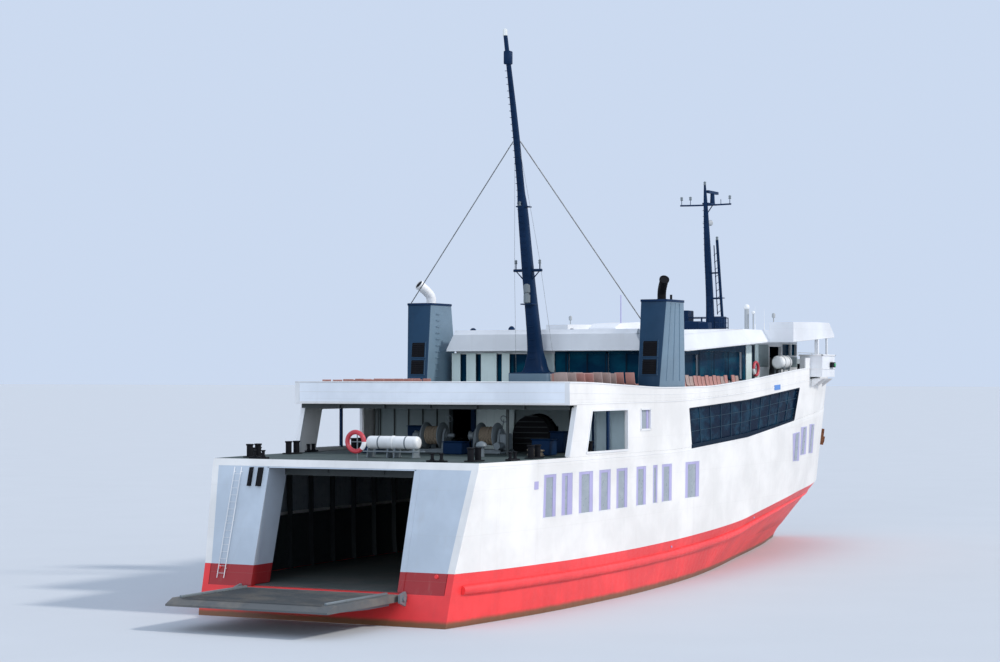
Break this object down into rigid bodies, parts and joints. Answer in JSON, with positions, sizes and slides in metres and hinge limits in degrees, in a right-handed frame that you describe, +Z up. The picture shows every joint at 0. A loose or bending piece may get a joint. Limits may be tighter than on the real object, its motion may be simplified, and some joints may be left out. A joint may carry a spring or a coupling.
{
  "type": "passenger ferry, 1:2 scale model",
  "caption": "Twin-screw passenger and vehicle ferry with a lowered stern ramp, hollow vehicle deck and saloon, twin funnels, raked mainmast and bridge wings.",
  "frame": {"origin": "amidships on the centreline at the waterline", "axes": "+X towards the bow, +Y to port, +Z up"},
  "size_m": [31.13, 7.85, 14.86],
  "materials": {
    "red_paint": "bright coral red hull paint, slightly chalky",
    "white_paint": "white ship's paint with rust runs at seams",
    "deck_paint": "matt non-slip deck paint",
    "blue_grey_paint": "dark blue-grey paint",
    "dark_glass": "dark tinted glazing",
    "grey_glass": "grey-green obscured window panes",
    "steel": "grey painted steel machinery",
    "bronze": "dull propeller bronze",
    "white_plastic": "white glass-reinforced plastic",
    "rusty_iron": "rusted iron"
  },
  "bodies": {
    "hull": {"lower_hull": "red_paint", "lower_strake_starboard": "red_paint", "lower_strake_port": "red_paint", "bow_lower": "red_paint", "skeg": "red_paint", "shaft_bracket_starboard": "red_paint", "shaft_bracket_port": "red_paint", "side_shell_starboard": "white_paint", "side_shell_port": "white_paint", "bow_upper": "white_paint", "transom_starboard": "white_paint", "transom_port": "white_paint", "second_deck": "deck_paint", "upper_deck": "deck_paint", "upper_side_starboard": "white_paint", "upper_side_port": "white_paint", "gallery_glazing_starboard": "dark_glass", "gallery_glazing_port": "dark_glass", "saloon_bow": "white_paint", "saloon_aft_bulkhead": "white_paint", "upper_bulwark_starboard": "white_paint", "upper_bulwark_port": "white_paint", "aft_bulwark": "white_paint", "bow_bulwark": "white_paint", "deckhouse": "white_paint", "deckhouse_roof": "white_paint", "roof_ventilation_house": "white_paint", "wheelhouse": "white_paint", "wheelhouse_roof": "white_paint", "bridge_wing_starboard": "white_paint", "bridge_wing_port": "white_paint", "funnel_starboard": "blue_grey_paint", "funnel_port": "blue_grey_paint", "mainmast": "blue_grey_paint", "foremast": "blue_grey_paint", "mast_stay_starboard": "steel", "mast_stay_port": "steel", "mooring_winch_starboard": "steel", "mooring_winch_port": "steel", "windlass": "steel", "life_raft_aft": "white_plastic", "life_raft_starboard": "white_plastic", "life_raft_port": "white_plastic", "anchor_starboard": "rusty_iron", "anchor_port": "rusty_iron", "side_glazing_starboard": "grey_glass", "side_glazing_port": "grey_glass", "deckhouse_glazing_starboard": "dark_glass", "deckhouse_glazing_port": "dark_glass", "wheelhouse_glazing": "dark_glass", "vehicle_deck": "deck_paint"},
    "ramp": {"stern_ramp": "deck_paint"},
    "screw_starboard": {"propeller_starboard": "bronze"},
    "screw_port": {"propeller_port": "bronze"},
    "rudder_blade_starboard": {"rudder_starboard": "red_paint"},
    "rudder_blade_port": {"rudder_port": "red_paint"},
    "radar": {"radar_scanner": "white_plastic"}
  },
  "joints": [
    {"name": "ramp_hinge", "type": "hinge", "parent": "hull", "child": "ramp", "pos_m": [-14.28, 0, 0.575], "axis": [0, 1, 0], "range_deg": [-8, 106]},
    {"name": "screw_spin_starboard", "type": "hinge", "parent": "hull", "child": "screw_starboard", "pos_m": [-12, -1.45, -0.875], "axis": [1, 0, 0], "continuous": true},
    {"name": "screw_spin_port", "type": "hinge", "parent": "hull", "child": "screw_port", "pos_m": [-12, 1.45, -0.875], "axis": [1, 0, 0], "continuous": true},
    {"name": "rudder_turn_starboard", "type": "hinge", "parent": "hull", "child": "rudder_blade_starboard", "pos_m": [-12.625, -1.45, -0.6], "axis": [0, 0, 1], "range_deg": [-35, 35]},
    {"name": "rudder_turn_port", "type": "hinge", "parent": "hull", "child": "rudder_blade_port", "pos_m": [-12.625, 1.45, -0.6], "axis": [0, 0, 1], "range_deg": [-35, 35]},
    {"name": "radar_spin", "type": "hinge", "parent": "hull", "child": "radar", "pos_m": [7.7, -0.175, 10.3], "axis": [0, 0, 1], "continuous": true}
  ],
  "couplings": [
    {"joint": "rudder_turn_port", "follows": "rudder_turn_starboard", "ratio": 1}
  ]
}
